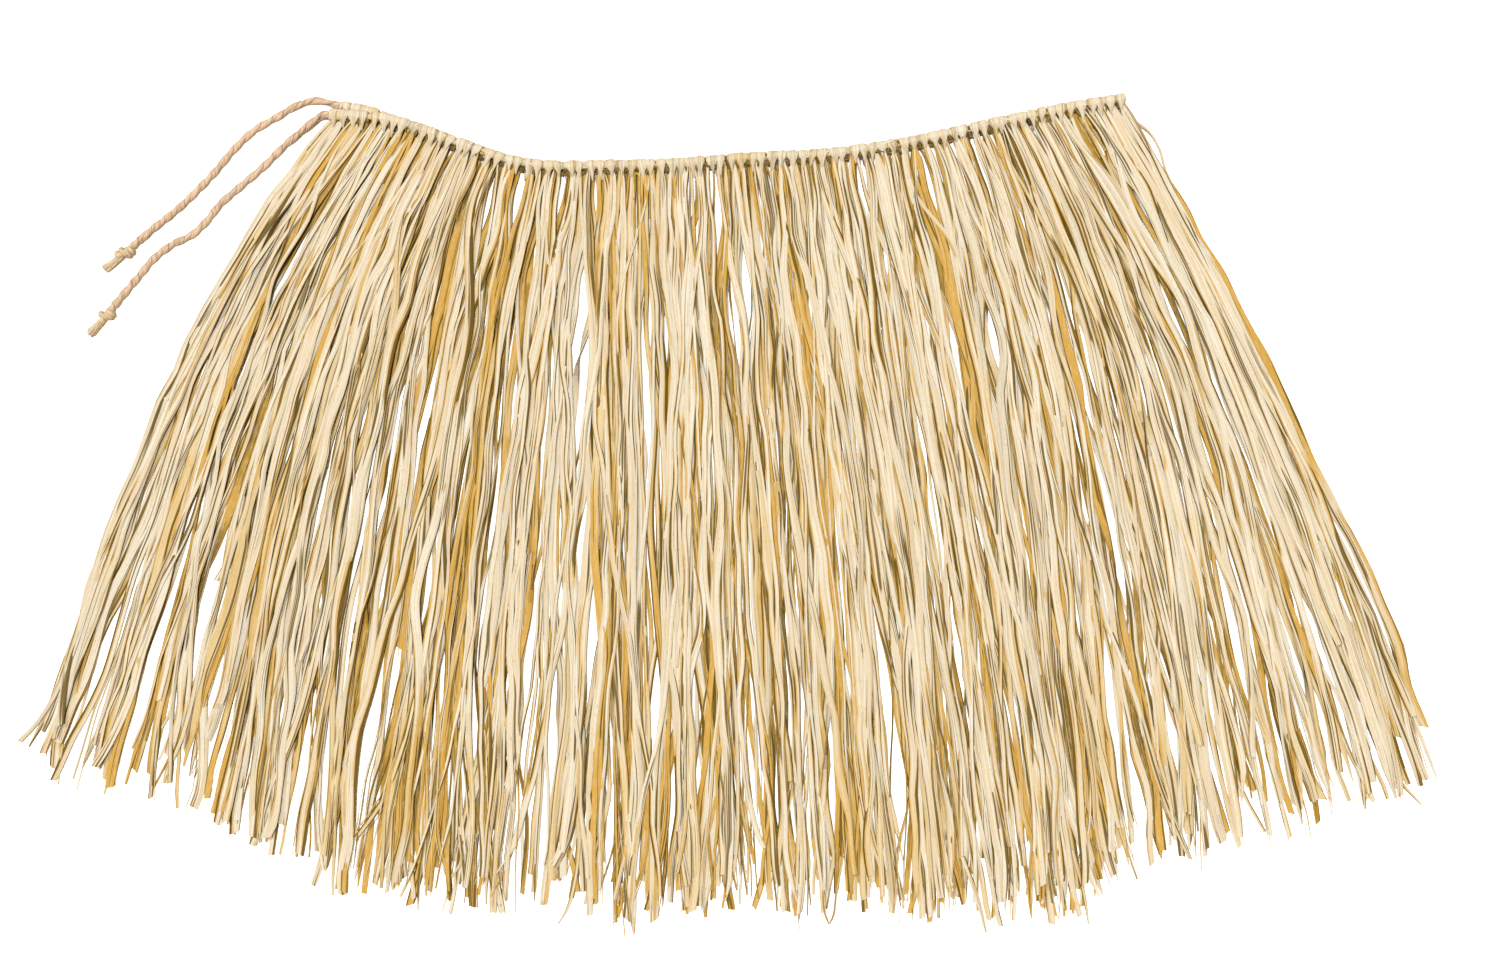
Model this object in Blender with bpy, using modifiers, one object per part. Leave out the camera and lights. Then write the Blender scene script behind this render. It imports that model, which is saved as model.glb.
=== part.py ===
"""Grass skirt: a wrap-around strip of raffia hitched to a waist cord, folded in half and laid flat.

Metres, +Z up. The skirt lies on the plane z = 0, waist towards +Y and fold towards +X. The front half
lies on the back half, and the strip's two ends are at -X, each with a tie cord that runs out over the
plane. A fan of guide strands from the waist to the hem gives every lock its place.
"""

from collections import namedtuple
import math
import random

import bmesh
import bpy
import numpy as np

MM = 0.001
SKIRT = "grass_skirt"
SEAM = 0.3 * MM

# Waist cord and the heading of hitched roots below it
WAIST_CORD_D = 4.6 * MM
CORD_RISE = 5.2 * MM  # from the back half's cord to the front half's
HEADING_WIDTH = 5.0 * MM
HEADING_THICK = 4.4 * MM
HEADING_STEPS = 44
FOLD_STUB = 0.6 * MM  # straight end of the front half's cord after its turn

# Locks of grass
LOCK_THICK = 1.6 * MM
LOCK_WIDEST = 9.5 * MM
LOCK_FILL = 0.74  # share of its slot across the fan that a lock fills
LOCK_WANDER = 0.20  # share of its slot that a lock strays sideways
TIP_FILL = (0.30, 0.60)
SHORT_BY = (0.0, 0.05)  # share of its length by which a lock falls short of the hem
NECK = 14.0 * MM  # below the heading, where a lock has come down from it
LYING_ROWS = 4
SEED = 11

# Tie cords
TIE_D = 4.6 * MM
TIE_STEP = 11.0 * MM
KNOT_D = 9.6 * MM
TAIL_D = 6.2 * MM
KNOT_LENGTH = 11.0 * MM
TAIL_LENGTH = 15.0 * MM

Point = namedtuple("Point", "x y")
# Top edge of the waist: each half's own end, then the run that both share
FRONT_END = (Point(-238.0, 236.0), Point(-215.0, 234.6), Point(-202.0, 232.8))
BACK_END = (Point(-232.0, 241.6), Point(-216.0, 238.4), Point(-202.0, 233.6))
WAIST_RUN = (
    Point(-189.0, 229.2),
    Point(-156.0, 217.2),
    Point(-133.0, 209.6),
    Point(-112.0, 206.2),
    Point(-78.0, 206.4),
    Point(-40.0, 207.2),
    Point(0.0, 210.4),
    Point(60.0, 214.0),
    Point(95.0, 219.2),
    Point(130.0, 226.4),
    Point(165.0, 234.4),
    Point(200.0, 241.2),
    Point(221.0, 244.6),
)

Guide = namedtuple("Guide", "waist hem_x hem_y lean_top lean_hem")
# Guide strands across the fan: share along the waist, end at the hem, and lean in degrees from straight down
GUIDES = (
    Guide(0.00, -421.0, -141.0, -42.0, -22.0),
    Guide(0.06, -357.0, -175.0, -34.0, -15.0),
    Guide(0.15, -280.0, -209.0, -28.0, -11.0),
    Guide(0.25, -186.0, -233.0, -13.0, -6.0),
    Guide(0.35, -97.0, -240.0, -3.0, -5.0),
    Guide(0.47, -6.0, -240.0, 3.0, 1.0),
    Guide(0.58, 71.0, -240.0, 8.0, 2.0),
    Guide(0.70, 158.0, -246.0, 10.0, 6.0),
    Guide(0.80, 211.0, -232.0, 20.0, 8.0),
    Guide(0.90, 300.0, -196.0, 29.0, 13.0),
    Guide(0.95, 358.0, -186.0, 32.0, 14.0),
    Guide(1.00, 419.0, -160.0, 32.0, 18.0),
)

Layer = namedtuple("Layer", "locks root hitched heading_z lying_z")
# Two layers of locks to a half: depth of the root below the heading's top edge, whether it stands proud
# as a hitch as far as the lower edge, its height in the heading and its height once lying
FRONT_LAYERS = (
    Layer(80, 0.8 * MM, True, 8.9 * MM, 7.0 * MM),
    Layer(44, 2.4 * MM, False, 6.2 * MM, 5.05 * MM),
)
BACK_LAYERS = (
    Layer(44, 2.4 * MM, False, 3.1 * MM, 3.1 * MM),
    Layer(80, 2.4 * MM, False, 1.15 * MM, 1.15 * MM),
)

RoutePoint = namedtuple("RoutePoint", "x y z")
FRONT_TIE = (
    RoutePoint(-238.6, 233.8, 7.5),
    RoutePoint(-241.6, 233.7, 7.3),
    RoutePoint(-247.0, 230.6, 6.0),
    RoutePoint(-255.0, 224.2, 3.8),
    RoutePoint(-265.0, 216.0, 2.4),
    RoutePoint(-276.0, 205.0, 2.4),
    RoutePoint(-291.0, 192.0, 2.4),
    RoutePoint(-303.0, 181.5, 2.4),
    RoutePoint(-311.0, 171.5, 2.4),
    RoutePoint(-319.0, 164.0, 2.4),
    RoutePoint(-331.0, 158.0, 2.4),
    RoutePoint(-342.0, 149.5, 2.4),
    RoutePoint(-350.0, 140.0, 2.4),
    RoutePoint(-358.0, 130.5, 3.0),
    RoutePoint(-364.5, 122.5, 4.6),
)
BACK_TIE = (
    RoutePoint(-232.9, 239.4, 2.4),
    RoutePoint(-236.4, 240.3, 2.4),
    RoutePoint(-246.0, 242.4, 2.4),
    RoutePoint(-257.0, 239.8, 2.4),
    RoutePoint(-269.0, 233.0, 2.4),
    RoutePoint(-284.0, 224.0, 2.4),
    RoutePoint(-295.0, 213.5, 2.4),
    RoutePoint(-306.0, 200.5, 2.4),
    RoutePoint(-315.0, 191.0, 2.4),
    RoutePoint(-328.0, 178.5, 2.4),
    RoutePoint(-343.0, 166.5, 3.2),
    RoutePoint(-350.5, 160.0, 4.6),
)

RAFFIA = (0.80, 0.64, 0.38)
RAFFIA_UNDER = (0.66, 0.50, 0.27)
CORD_CREAM = (0.84, 0.72, 0.50)
TIE_PINK = (0.72, 0.52, 0.38)


def smooth(knots, values, at):
    """A cubic curve through the values at the knots, read at each place in at."""
    knots = np.asarray(knots, float)
    values = np.asarray(values, float)
    at = np.atleast_1d(np.asarray(at, float))
    slopes = np.gradient(values, knots, axis=0)
    i = np.clip(np.searchsorted(knots, at) - 1, 0, len(knots) - 2)
    span = (knots[i + 1] - knots[i])[:, None]
    s = (at - knots[i])[:, None] / span
    start, end = values[i], values[i + 1]
    rise, fall = slopes[i] * span, slopes[i + 1] * span
    cubic = 2 * s**3 - 3 * s**2 + 1
    return cubic * start + (1 - cubic) * end + (s**3 - 2 * s**2 + s) * rise + (s**3 - s**2) * fall


def chord_lengths(points):
    """The distance along the straight lines that join the points."""
    steps = np.linalg.norm(np.diff(np.asarray(points, float), axis=0), axis=1)
    return np.concatenate(([0.0], np.cumsum(steps)))


class Fan:
    """The sheet that one half's strands lie in: across runs from end to fold, down from waist to hem."""

    def __init__(self, waist):
        self.waist = np.array(waist) * MM
        self.waist_at = chord_lengths(self.waist)
        self.waist_at /= self.waist_at[-1]
        guides = np.array(GUIDES)
        guides[:, 1:3] *= MM
        hem_share = (guides[:, 1] - guides[0, 1]) / (guides[-1, 1] - guides[0, 1])
        self.guides = guides
        self.guides_at = (guides[:, 0] + hem_share) / 2

    def edge(self, share, depth):
        """A point below the waist's top edge, square to it by the depth."""
        share = float(share)
        step = 0.004
        before, here, after = smooth(self.waist_at, self.waist, [share - step, share, share + step])
        run = (after - before) / np.linalg.norm(after - before)
        return here + depth * np.array((run[1], -run[0]))

    def guide(self, across):
        """The strand's start, end and the two tangents of its curve."""
        waist, hem_x, hem_y, lean_top, lean_hem = smooth(self.guides_at, self.guides, across)[0]
        start = self.edge(waist, WAIST_CORD_D + SEAM)
        end = np.array((hem_x, hem_y))
        reach = np.linalg.norm(end - start)
        top, bottom = math.radians(lean_top), math.radians(lean_hem)
        leave = reach * np.array((math.sin(top), -math.cos(top)))
        arrive = reach * np.array((math.sin(bottom), -math.cos(bottom)))
        return start, end, leave, arrive, reach

    def point(self, across, down):
        start, end, leave, arrive, _ = self.guide(across)
        cubic = 2 * down**3 - 3 * down**2 + 1
        bow = (down**3 - 2 * down**2 + down) * leave + (down**3 - down**2) * arrive
        return cubic * start + (1 - cubic) * end + bow

    def reach(self, across):
        return self.guide(across)[4]


def material(name, colour, roughness):
    made = bpy.data.materials.new(name)
    made.use_nodes = True
    shader = made.node_tree.nodes["Principled BSDF"]
    shader.inputs["Base Color"].default_value = (*colour, 1.0)
    shader.inputs["Roughness"].default_value = roughness
    shader.inputs["Metallic"].default_value = 0.0
    return made


def mesh_object(name, mesh, collection):
    made = bpy.data.objects.new(name, mesh)
    collection.objects.link(made)
    return made


def sheet(bm, steps, place):
    """A strip of quads, one across and so many down, laid by place(side, down) with side -1 or 1."""
    corners = bmesh.ops.create_grid(bm, x_segments=1, y_segments=steps, size=1.0)["verts"]
    for corner in corners:
        corner.co = place(corner.co.x, (1.0 - corner.co.y) / 2)


def thickened(obj, thickness):
    shell = obj.modifiers.new("Thickness", "SOLIDIFY")
    shell.thickness = thickness
    shell.offset = 0.0
    return obj


def lock_rows(layer, reach, short):
    """How far down its strand each row of a lock's corners lies, and how high."""
    rows = [(layer.root / reach, layer.heading_z)]
    if layer.hitched:
        rows.append((HEADING_WIDTH / reach, layer.heading_z))
    neck = (HEADING_WIDTH + NECK) / reach
    return rows + [(down, layer.lying_z) for down in np.linspace(neck, 1.0 - short, LYING_ROWS)]


def add_lock(bm, fan, layer, index, rng):
    """One tapering lock that stays inside its own slot of the fan."""
    slot = 1.0 / layer.locks
    middle = (index + 0.5) * slot
    rows = lock_rows(layer, fan.reach(middle), rng.uniform(*SHORT_BY))
    steps = len(rows) - 1
    phase, waves = rng.uniform(0, math.tau), rng.uniform(0.6, 1.4)
    tip = rng.uniform(*TIP_FILL)

    def place(side, along):
        row = round(along * steps)
        down, height = rows[row]
        stray = LOCK_WANDER * slot / 2 * min(1.0, down * 4) * math.sin(phase + waves * math.tau * down)
        pitch = np.linalg.norm(fan.point(middle + slot / 2, down) - fan.point(middle - slot / 2, down))
        fill = min(LOCK_FILL, LOCK_WIDEST / pitch) * (tip if row == steps else 1.0)
        x, y = fan.point(middle + stray + side * fill * slot / 2, down)
        return x, y, height

    sheet(bm, steps, place)


def fringe(name, fan, layers, bottom, parts, helpers, colour):
    """A heading strip under the waist cord with two layers of locks fused into it."""
    rng = random.Random(f"{name}{SEED}")
    locks = bmesh.new()
    for layer in layers:
        for index in range(layer.locks):
            add_lock(locks, fan, layer, index, rng)
    lock_mesh = bpy.data.meshes.new(name + "_locks")
    locks.to_mesh(lock_mesh)
    locks.free()
    lock_object = thickened(mesh_object(name + "_locks", lock_mesh, helpers), LOCK_THICK)
    lock_object.hide_render = True
    lock_object.display_type = "WIRE"

    def place(side, along):
        reach = fan.reach(along)
        x, y = fan.point(along, (side + 1) / 2 * HEADING_WIDTH / reach)
        return x, y, bottom + HEADING_THICK / 2

    strip = bmesh.new()
    sheet(strip, HEADING_STEPS, place)
    strip_mesh = bpy.data.meshes.new(name)
    strip.to_mesh(strip_mesh)
    strip.free()
    heading = thickened(mesh_object(name, strip_mesh, parts), HEADING_THICK)
    joined = heading.modifiers.new("Locks", "BOOLEAN")
    joined.operation = "UNION"
    joined.object = lock_object
    strip_mesh.materials.append(material(name, colour, 0.7))
    return heading


def tube(name, points, radii, collection, colour, sides_resolution):
    """A round cord through the points, each with its own radius."""
    curve = bpy.data.curves.new(name, "CURVE")
    curve.dimensions = "3D"
    spline = curve.splines.new("POLY")
    spline.points.add(len(points) - 1)
    for corner, point, radius in zip(spline.points, points, radii):
        corner.co = (*point, 1.0)
        corner.radius = radius
    curve.bevel_depth = 1.0
    curve.bevel_resolution = sides_resolution
    curve.use_fill_caps = True
    curve.materials.append(material(name, colour, 0.6))
    made = bpy.data.objects.new(name, curve)
    collection.objects.link(made)
    return made


def waist_cord_points(fan, height):
    """The cord's middle line under the waist's top edge, from the end to the fold."""
    places = np.linspace(0.0, 1.0, HEADING_STEPS + 1)
    return [(*fan.edge(place, WAIST_CORD_D / 2), height) for place in places]


def fold_points(straight, drop):
    """Half a turn down from the last point of the straight run, in its direction."""
    last = np.array(straight[-1])
    run = last - np.array(straight[-2])
    run /= np.linalg.norm(run)
    radius = drop / 2
    turned = []
    for angle in np.linspace(0.0, math.pi, 9)[1:]:
        forward = run * radius * math.sin(angle)
        turned.append(tuple(last + forward + np.array((0, 0, radius * (math.cos(angle) - 1)))))
    turned.append(tuple(last - run * FOLD_STUB - np.array((0, 0, drop))))
    return turned


def tie_points(route):
    """The route's points in metres and a smooth line of evenly spaced points through them."""
    hand = np.array(route) * MM
    at = chord_lengths(hand)
    count = math.ceil(at[-1] / TIE_STEP)
    places = [0.0, TIE_D / 2, *np.linspace(TIE_STEP, at[-1], count)]
    return smooth(at, hand, places)


def knot_points(line):
    """Points and radii of an overhand knot and its cut tail, starting a seam's width past the line's end."""
    run = (line[-1] - line[-2]) * (1.0, 1.0, 0.0)
    run /= np.linalg.norm(run)
    bulge = (0.0, 0.12, 0.32, 0.5, 0.68, 0.88, 1.0)
    stops = [KNOT_LENGTH * share for share in bulge]
    radii = [KNOT_D / 2 * math.sqrt(max(0.12, 1 - (2 * share - 1) ** 2)) for share in bulge]
    stops += [KNOT_LENGTH + TAIL_LENGTH * share for share in (0.3, 0.7, 1.0)]
    radii += [TIE_D / 2, TAIL_D / 2 * 0.9, TAIL_D / 2]
    start = line[-1] * (1.0, 1.0, 0.0) + run * 2 * SEAM
    heights = [KNOT_D / 2 * 1.02] * len(bulge) + [KNOT_D * 0.42, KNOT_D * 0.34, TAIL_D / 2 * 1.02]
    points = [tuple(start + run * stop + np.array((0, 0, height))) for stop, height in zip(stops, heights)]
    return points, radii


def main():
    for obj in list(bpy.data.objects):
        bpy.data.objects.remove(obj, do_unlink=True)
    parts = bpy.data.collections.new(SKIRT)
    helpers = bpy.data.collections.new(SKIRT + "_helpers")
    for collection in (parts, helpers):
        bpy.context.scene.collection.children.link(collection)

    front, back = Fan(FRONT_END + WAIST_RUN), Fan(BACK_END + WAIST_RUN)
    low = WAIST_CORD_D / 2
    high = low + CORD_RISE
    over = waist_cord_points(front, high)
    over += fold_points(over, CORD_RISE)
    under = waist_cord_points(back, low)
    run = np.subtract(under[-1], under[-2])
    under[-1] = tuple(under[-1] - run / np.linalg.norm(run) * (FOLD_STUB + SEAM))
    tube("waist_cord_front", over, [WAIST_CORD_D / 2] * len(over), parts, CORD_CREAM, 2)
    tube("waist_cord_back", under, [WAIST_CORD_D / 2] * len(under), parts, CORD_CREAM, 2)

    fringe("fringe_front", front, FRONT_LAYERS, HEADING_THICK + SEAM, parts, helpers, RAFFIA)
    fringe("fringe_back", back, BACK_LAYERS, 0.0, parts, helpers, RAFFIA_UNDER)

    for half, route in (("front", FRONT_TIE), ("back", BACK_TIE)):
        line = tie_points(route)
        tube("tie_" + half, line, [TIE_D / 2] * len(line), parts, TIE_PINK, 3)
        knot, radii = knot_points(line)
        tube("tie_knot_" + half, knot, radii, parts, TIE_PINK, 3)


main()
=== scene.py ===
"""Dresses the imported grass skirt: folded raffia ribbons hitched over a waist cord, and two twisted ties.

Every ribbon, cord and ply is a swept strand. Python works out the middle lines, widths, folds and heights, and
one Geometry Nodes tree sweeps a section along them. Metres, +Z up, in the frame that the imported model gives.
"""

import math

import bpy
import numpy as np
from bpy.props import FloatProperty, FloatVectorProperty, IntProperty, PointerProperty
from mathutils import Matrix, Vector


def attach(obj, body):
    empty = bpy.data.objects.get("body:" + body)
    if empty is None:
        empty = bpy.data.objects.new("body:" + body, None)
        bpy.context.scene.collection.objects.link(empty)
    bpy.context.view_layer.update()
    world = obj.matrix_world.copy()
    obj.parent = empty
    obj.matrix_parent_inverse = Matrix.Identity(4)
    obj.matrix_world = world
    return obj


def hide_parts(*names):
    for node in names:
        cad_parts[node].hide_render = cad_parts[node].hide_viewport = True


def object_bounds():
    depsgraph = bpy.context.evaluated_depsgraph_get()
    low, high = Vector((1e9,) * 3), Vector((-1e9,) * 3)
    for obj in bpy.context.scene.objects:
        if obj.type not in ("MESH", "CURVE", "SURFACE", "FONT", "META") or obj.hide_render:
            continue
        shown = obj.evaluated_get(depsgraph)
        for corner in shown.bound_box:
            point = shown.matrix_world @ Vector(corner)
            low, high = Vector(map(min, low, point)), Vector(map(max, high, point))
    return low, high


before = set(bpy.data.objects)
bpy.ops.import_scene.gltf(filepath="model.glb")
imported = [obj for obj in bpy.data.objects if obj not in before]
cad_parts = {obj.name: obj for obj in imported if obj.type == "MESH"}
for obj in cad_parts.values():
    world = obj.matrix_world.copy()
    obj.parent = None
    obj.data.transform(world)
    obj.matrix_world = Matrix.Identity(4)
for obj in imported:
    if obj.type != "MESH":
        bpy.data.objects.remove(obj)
CAD_BOX = [[float(x) for x in corner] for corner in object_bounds()]

bl_info = {
    "name": "Grass skirt",
    "version": (1, 0, 0),
    "blender": (4, 5, 0),
    "location": "3D View > Sidebar > Grass skirt",
    "description": "Lays out a raffia skirt with its waist cord, hitches and ties",
    "category": "Add Mesh",
}

MM = 0.001
BODY = "root"
UP = np.array((0.0, 0.0, 1.0))

# The waist's top edge in each half, in millimetres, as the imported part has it
FRONT_END = ((-238, 236), (-215, 234.6), (-202, 232.8))
BACK_END = ((-232, 241.6), (-216, 238.4), (-202, 233.6))
WAIST_RUN = (
    (-189, 229.2), (-156, 217.2), (-133, 209.6), (-112, 206.2), (-78, 206.4), (-40, 207.2), (0, 210.4), (60, 214),
    (95, 219.2), (130, 226.4), (165, 234.4), (200, 241.2), (221, 244.6),
)
# Guides: share along the waist, hem x and y in millimetres, lean at the top and at the hem in degrees
GUIDES = (
    (0.00, -419, -140, -42, -22), (0.06, -357, -175, -34, -15), (0.15, -280, -209, -28, -11),
    (0.25, -186, -233, -13, -6), (0.35, -97, -240, -3, -5), (0.47, -6, -240, 3, 1),
    (0.58, 71, -240, 8, 2), (0.70, 158, -246, 10, 6), (0.80, 211, -232, 20, 8),
    (0.90, 300, -196, 29, 13), (0.95, 358, -186, 32, 14), (1.00, 404, -164, 29, 18),
)
# The hem as the longest ribbons reach it: x and y in millimetres
HEM = (
    (-414, -136), (-400, -160), (-378, -164), (-343, -170), (-308, -182), (-273, -206), (-238, -228), (-203, -231),
    (-168, -233), (-133, -233), (-98, -235), (-62, -244), (-27, -240), (8, -236), (60, -236),
    (95, -236), (148, -242), (200, -236), (235, -216), (270, -204), (305, -192), (340, -194),
    (375, -182), (411, -158),
)
# Places where the strands part and the floor shows: x, y, half the parting's length and its width
PARTINGS = (
    (-103, 188, 12, 1.6), (-82, 188, 10, 1.4), (-26, 185, 14, 1.4), (-13, 175, 60, 1.2), (-149, 172, 14, 1.8),
    (-127, 190, 12, 1.4), (-159, 108, 14, 1.6), (-92, 123, 14, 1.6), (-93, 84, 14, 1.6), (-44, 94, 14, 1.4),
    (3, 131, 14, 1.6), (-1, 116, 12, 1.4), (-123, -96, 18, 1.8), (-106, -112, 16, 1.8), (-86, -74, 16, 1.8),
    (-50, -112, 18, 1.8), (-20, -128, 24, 2.0), (-17, -85, 16, 1.6), (14, -145, 18, 2.0), (-137, -190, 18, 2.4),
    (73, 195, 10, 1.4), (112, 190, 12, 1.4), (209, 220, 12, 1.6), (234, 182, 14, 1.6), (254, 122, 14, 1.0),
    (152, 96, 14, 1.2), (57, -165, 34, 2.0), (95, -160, 18, 2.0), (159, -125, 22, 2.0), (-15, 12, 20, 1.6),
    (-4, 38, 14, 1.4), (-343, 8, 24, 2.0), (-369, -73, 26, 2.2), (-308, -50, 24, 1.8), (-290, 43, 20, 1.6),
    (-331, -108, 22, 2.2), (-267, -120, 22, 1.8), (323, 38, 22, 1.0), (355, -50, 26, 1.4), (288, -62, 22, 0.8),
    (381, -102, 24, 1.8), (329, -120, 24, 1.4), (253, -108, 22, 1.0),
)
# Where the raffia is riper or paler: x, y, the patch's radius and by how much
PATCHES = (
    (-195, -150, 45, 0.35), (-262, 165, 32, -0.45), (-287, 100, 30, -0.4), (0, -10, 40, 0.2),
    (80, -200, 50, 0.25), (230, -150, 50, 0.3), (-60, -190, 50, 0.3), (150, -60, 40, -0.2),
    (-90, 40, 60, -0.2), (60, 110, 60, -0.15), (300, 0, 60, -0.1), (210, 150, 40, 0.12),
    (-330, -100, 75, -0.25), (-265, 10, 90, -0.18), (-10, 150, 30, 0.12), (330, -150, 50, 0.1),
)
# Single strands that stray from the rest: half the width and tone, then the route in millimetres
STRAYS = (
    (
        0.6, 0.3, (226, 234, 8), (231.5, 230.5, 7), (240.5, 224.5, 4.5), (247.5, 213.5, 3), (250, 204, 4),
        (256, 190, 6),
    ),
    (0.6, 0.5, (62, -200, 5), (58, -222, 3.5), (55.6, -237, 2.2), (54, -240, 2), (52.2, -236, 2.4), (50, -212, 4)),
    (1.0, 0.2, (-92, -190, 5), (-95, -214, 3), (-100, -232, 1.5), (-105, -240, 1.2)),
    (1.7, 0.1, (-64, -180, 6), (-61, -215, 3.5), (-60.5, -246, 1.2)),
    (1.2, 0.2, (-384, -60, 3), (-396, -92, 2.5), (-406, -120, 2), (-415, -136, 1.2)),
    (1.1, 0.4, (-356, -120, 3), (-366, -146, 2), (-371, -164, 1.2)),
    (1.3, 0.1, (132, -200, 6), (141, -226, 3), (146, -245, 1.2)),
    (1.0, 0.3, (196, -196, 5), (203, -222, 3), (206, -240, 1.2)),
    (1.1, 0.2, (384, -90, 4), (398, -124, 3), (410, -154, 1.2)),
    (1.0, 0.3, (372, -130, 4), (388, -156, 2.5), (401, -170, 1.2)),
)
WAIST_CORD_D = 4.6 * MM
LOW_CORD_Z = WAIST_CORD_D / 2
HIGH_CORD_Z = LOW_CORD_Z + 5.2 * MM
# Depths below the waist's top edge: where the strands leave the heading, and clear of the cord
HEADING_DEPTH = 4.9 * MM
PAST_CORD = 4.0 * MM
PAST_FOLD = 1.013  # the last hitches sit on the cord's turn at the fold
FIRST_PLACE = 0.003  # across the fan: lines that stray past it, or past the fold, turn back
STRAND_LENGTH = 0.43  # from the waist to the hem
STATIONS = np.linspace(0, 1, 64) ** 1.3  # places along a ribbon, closer together near the waist
KINKS = 20  # along each ribbon
ROOT_RUN = 60 * MM  # below the cord, a ribbon widens over this length
TIP_RUN = 50 * MM  # above its tip, it curls and thins over this one
SHADE_RUN = 26 * MM  # below the cord, painted shade darkens the back half's ribbons over this one

# The ties' routes, in millimetres
FRONT_TIE = (
    (-238.6, 233.8, 7.5), (-241.6, 233.7, 7.3), (-247, 230.6, 6), (-255, 224.2, 3.8), (-265, 216, 2.4),
    (-276, 205, 2.4), (-291, 192, 2.4), (-303, 181.5, 2.4), (-311, 171.5, 2.4), (-319, 164, 2.4),
    (-331, 158, 2.4), (-342, 149.5, 2.4), (-350, 140, 2.4), (-358, 130.5, 3), (-364.5, 122.5, 4.6),
)
BACK_TIE = (
    (-232.9, 239.4, 2.4), (-236.4, 240.3, 2.4), (-246, 242.4, 2.4), (-257, 239.8, 2.4), (-269, 233, 2.4),
    (-284, 224, 2.4), (-295, 213.5, 2.4), (-306, 200.5, 2.4), (-315, 191, 2.4), (-328, 178.5, 2.4),
    (-343, 166.5, 3.2), (-350.5, 160, 4.6),
)
KNOT_Z = 4.8 * MM

# The stage: the width that the camera sees, half the floor's side and the lights' turn in degrees
VIEW_WIDTH = 0.876
FLOOR_REACH = 6.0
LIGHT_TURN = 225.0


# Settings


class SkirtSizes(bpy.types.PropertyGroup):
    hitches: IntProperty(
        name="Hitches", description="Raffia hitches along each half of the waist", default=80, min=10
    )
    ribbon_width: FloatProperty(
        name="Ribbon width", description="Usual width of a raffia ribbon", default=3.3 * MM, unit="LENGTH"
    )
    ribbon_thickness: FloatProperty(
        name="Ribbon thickness", description="Thickness of a folded raffia ribbon", default=0.8 * MM, unit="LENGTH"
    )
    extra_share: FloatProperty(
        name="Extra ribbons",
        description="Loose split ribbons, as a share of the hitched ones",
        default=0.32,
        subtype="FACTOR",
        min=0.0,
        max=1.0,
    )
    raggedness: FloatProperty(
        name="Raggedness",
        description="Share of its length by which a ribbon usually falls short of the hem",
        default=0.039,
        subtype="FACTOR",
        min=0.0,
        max=0.5,
    )
    most_height: FloatProperty(
        name="Height", description="Height that the piled strands stay under", default=15 * MM, unit="LENGTH"
    )
    tie_pitch: FloatProperty(
        name="Tie pitch", description="Length of one turn of a tie's two plies", default=17 * MM, unit="LENGTH"
    )
    seed: IntProperty(name="Seed", description="Seed of everything random", default=7)


class SkirtColours(bpy.types.PropertyGroup):
    cream: FloatVectorProperty(
        name="Cream", description="Palest raffia", default=(0.47, 0.454, 0.395), subtype="COLOR"
    )
    straw: FloatVectorProperty(
        name="Straw", description="Usual raffia", default=(0.445, 0.372, 0.23), subtype="COLOR"
    )
    gold: FloatVectorProperty(
        name="Gold", description="Ripe golden raffia", default=(0.37, 0.218, 0.04), subtype="COLOR"
    )
    olive: FloatVectorProperty(
        name="Olive", description="Darkest, green-brown raffia", default=(0.21, 0.122, 0.01), subtype="COLOR"
    )
    # Creases: also the brown of painted shade, in crease lines, shadowed edges and the most shaded raffia
    crease: FloatVectorProperty(
        name="Creases", description="Brown of creases and edges", default=(0.09, 0.055, 0.005), subtype="COLOR"
    )
    tie: FloatVectorProperty(
        name="Tie", description="Pinkish beige of the ties", default=(0.45, 0.32, 0.235), subtype="COLOR"
    )
    tie_crease: FloatVectorProperty(
        name="Tie creases", description="Brown in the ties' creases", default=(0.17, 0.095, 0.055), subtype="COLOR"
    )
    floor: FloatVectorProperty(
        name="Floor", description="Pale floor", default=(0.94, 0.94, 0.94), subtype="COLOR"
    )


# Curves


def smooth(knots, values, at):
    """A cubic curve through the values at the knots, read at each place in at."""
    knots = np.asarray(knots, float)
    values = np.asarray(values, float)
    at = np.atleast_1d(np.asarray(at, float))
    slopes = np.gradient(values, knots, axis=0)
    i = np.clip(np.searchsorted(knots, at) - 1, 0, len(knots) - 2)
    span = (knots[i + 1] - knots[i])[:, None]
    s = (at - knots[i])[:, None] / span
    cubic = 2 * s**3 - 3 * s**2 + 1
    bow = (s**3 - 2 * s**2 + s) * slopes[i] * span + (s**3 - s**2) * slopes[i + 1] * span
    return cubic * values[i] + (1 - cubic) * values[i + 1] + bow


def lengths_along(points):
    steps = np.linalg.norm(np.diff(np.asarray(points, float), axis=-2), axis=-1)
    return np.concatenate((np.zeros_like(steps[..., :1]), np.cumsum(steps, axis=-1)), axis=-1)


def unit(vectors):
    return vectors / np.maximum(np.linalg.norm(vectors, axis=-1, keepdims=True), 1e-12)


def eased(x):
    x = np.clip(x, 0.0, 1.0)
    return x * x * (3 - 2 * x)


def right_of(run):
    """The way to the right of each run along the floor."""
    return np.stack((run[..., 1], -run[..., 0]), axis=-1)


def swung(angle, first, second):
    """Directions at each angle round from the first to the second."""
    return np.cos(angle)[..., None] * first + np.sin(angle)[..., None] * second


def read_along(places, at, points):
    """The points of a poly-line at those places, where at gives the places of its own points."""
    return np.stack([np.interp(places, at, part) for part in points.T], axis=1)


def even_route(points, step):
    """The smooth route through the points, with places a step apart."""
    points = np.array(points) * MM
    at = lengths_along(points)
    fine = smooth(at, points, np.linspace(0, at[-1], 400))
    fine_at = lengths_along(fine)
    places = np.linspace(0, fine_at[-1], max(4, round(fine_at[-1] / step)))
    return read_along(places, fine_at, fine)


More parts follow.
